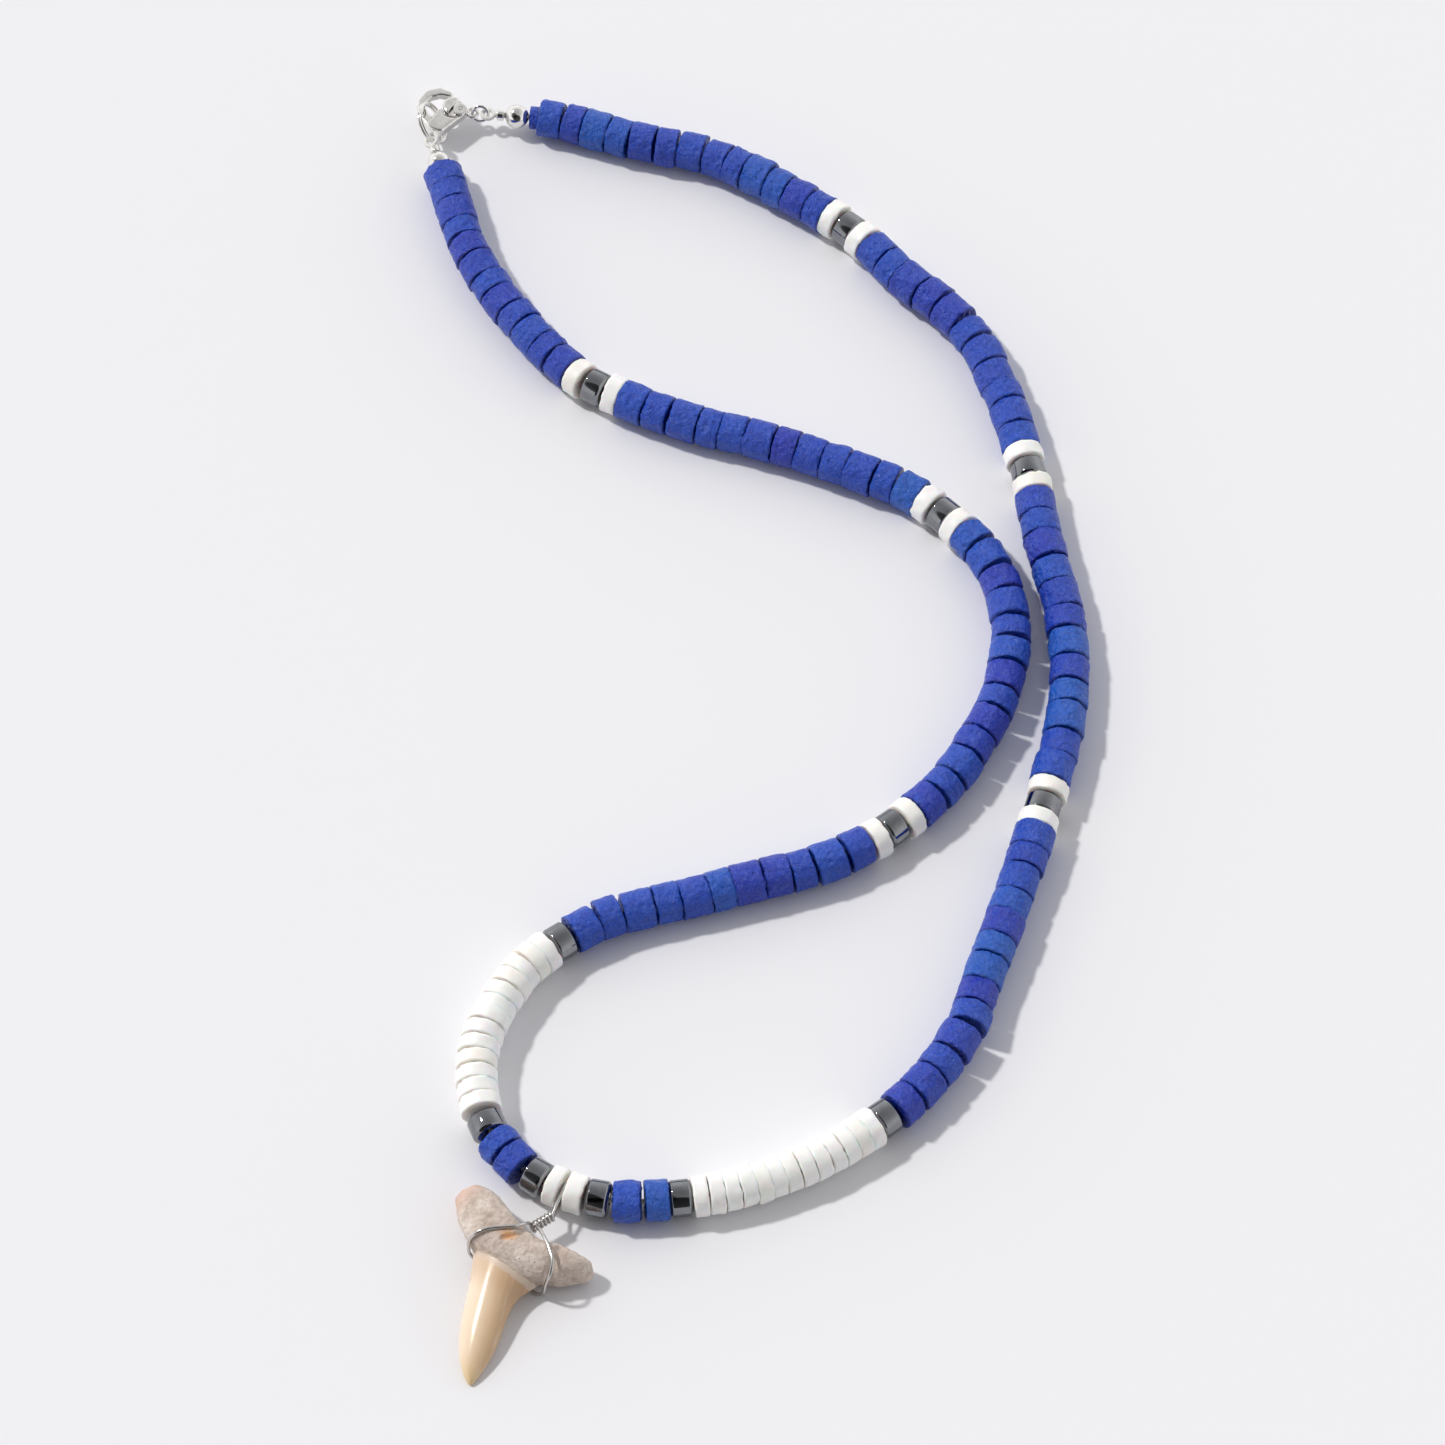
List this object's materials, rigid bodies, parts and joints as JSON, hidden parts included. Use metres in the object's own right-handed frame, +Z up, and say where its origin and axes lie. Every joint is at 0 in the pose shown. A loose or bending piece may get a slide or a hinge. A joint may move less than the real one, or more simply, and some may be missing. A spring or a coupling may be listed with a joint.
{
  "type": "shark tooth necklace",
  "caption": "Closed loop of blue coconut, white shell and hematite disc beads with a wire-wrapped shark tooth pendant and a lobster clasp.",
  "frame": {"origin": "middle of the necklace's outline, on the surface that it lies on", "axes": "+Z up from the surface, +Y from the tooth towards the clasp, +X to the right seen from above with the clasp at the top"},
  "size_m": [0.0784, 0.1734, 0.0056],
  "materials": {
    "blue_coconut": "dyed cobalt blue, worn semi-gloss",
    "white_shell": "smooth warm white",
    "hematite": "dark mirror polish",
    "thread": "pale stringing thread",
    "steel": "polished",
    "wire": "worn satin",
    "tooth": "glossy enamel, matte porous root"
  },
  "bodies": {
    "necklace": {"coconut_beads_right": "blue_coconut", "coconut_beads_left": "blue_coconut", "shell_beads_right": "white_shell", "shell_beads_left": "white_shell", "hematite_beads_right": "hematite", "hematite_beads_left": "hematite", "thread": "thread", "jump_ring": "steel", "split_ring": "steel", "clasp_body": "steel", "clasp_pin": "steel", "shark_tooth": "tooth", "tooth_wire": "wire", "crimp_bead_right": "steel", "crimp_bead_left": "steel", "ball_bead_right": "steel", "ball_bead_left": "steel"},
    "lever": {"clasp_lever": "steel"}
  },
  "joints": [
    {"name": "lever_hinge", "type": "hinge", "parent": "necklace", "child": "lever", "pos_m": [-0.03396, 0.08323, 0.0024], "axis": [0, 0, 1], "range_deg": [0, 22], "stiffness_Nm_per_rad": 0.00002, "springref_deg": -5.73}
  ]
}
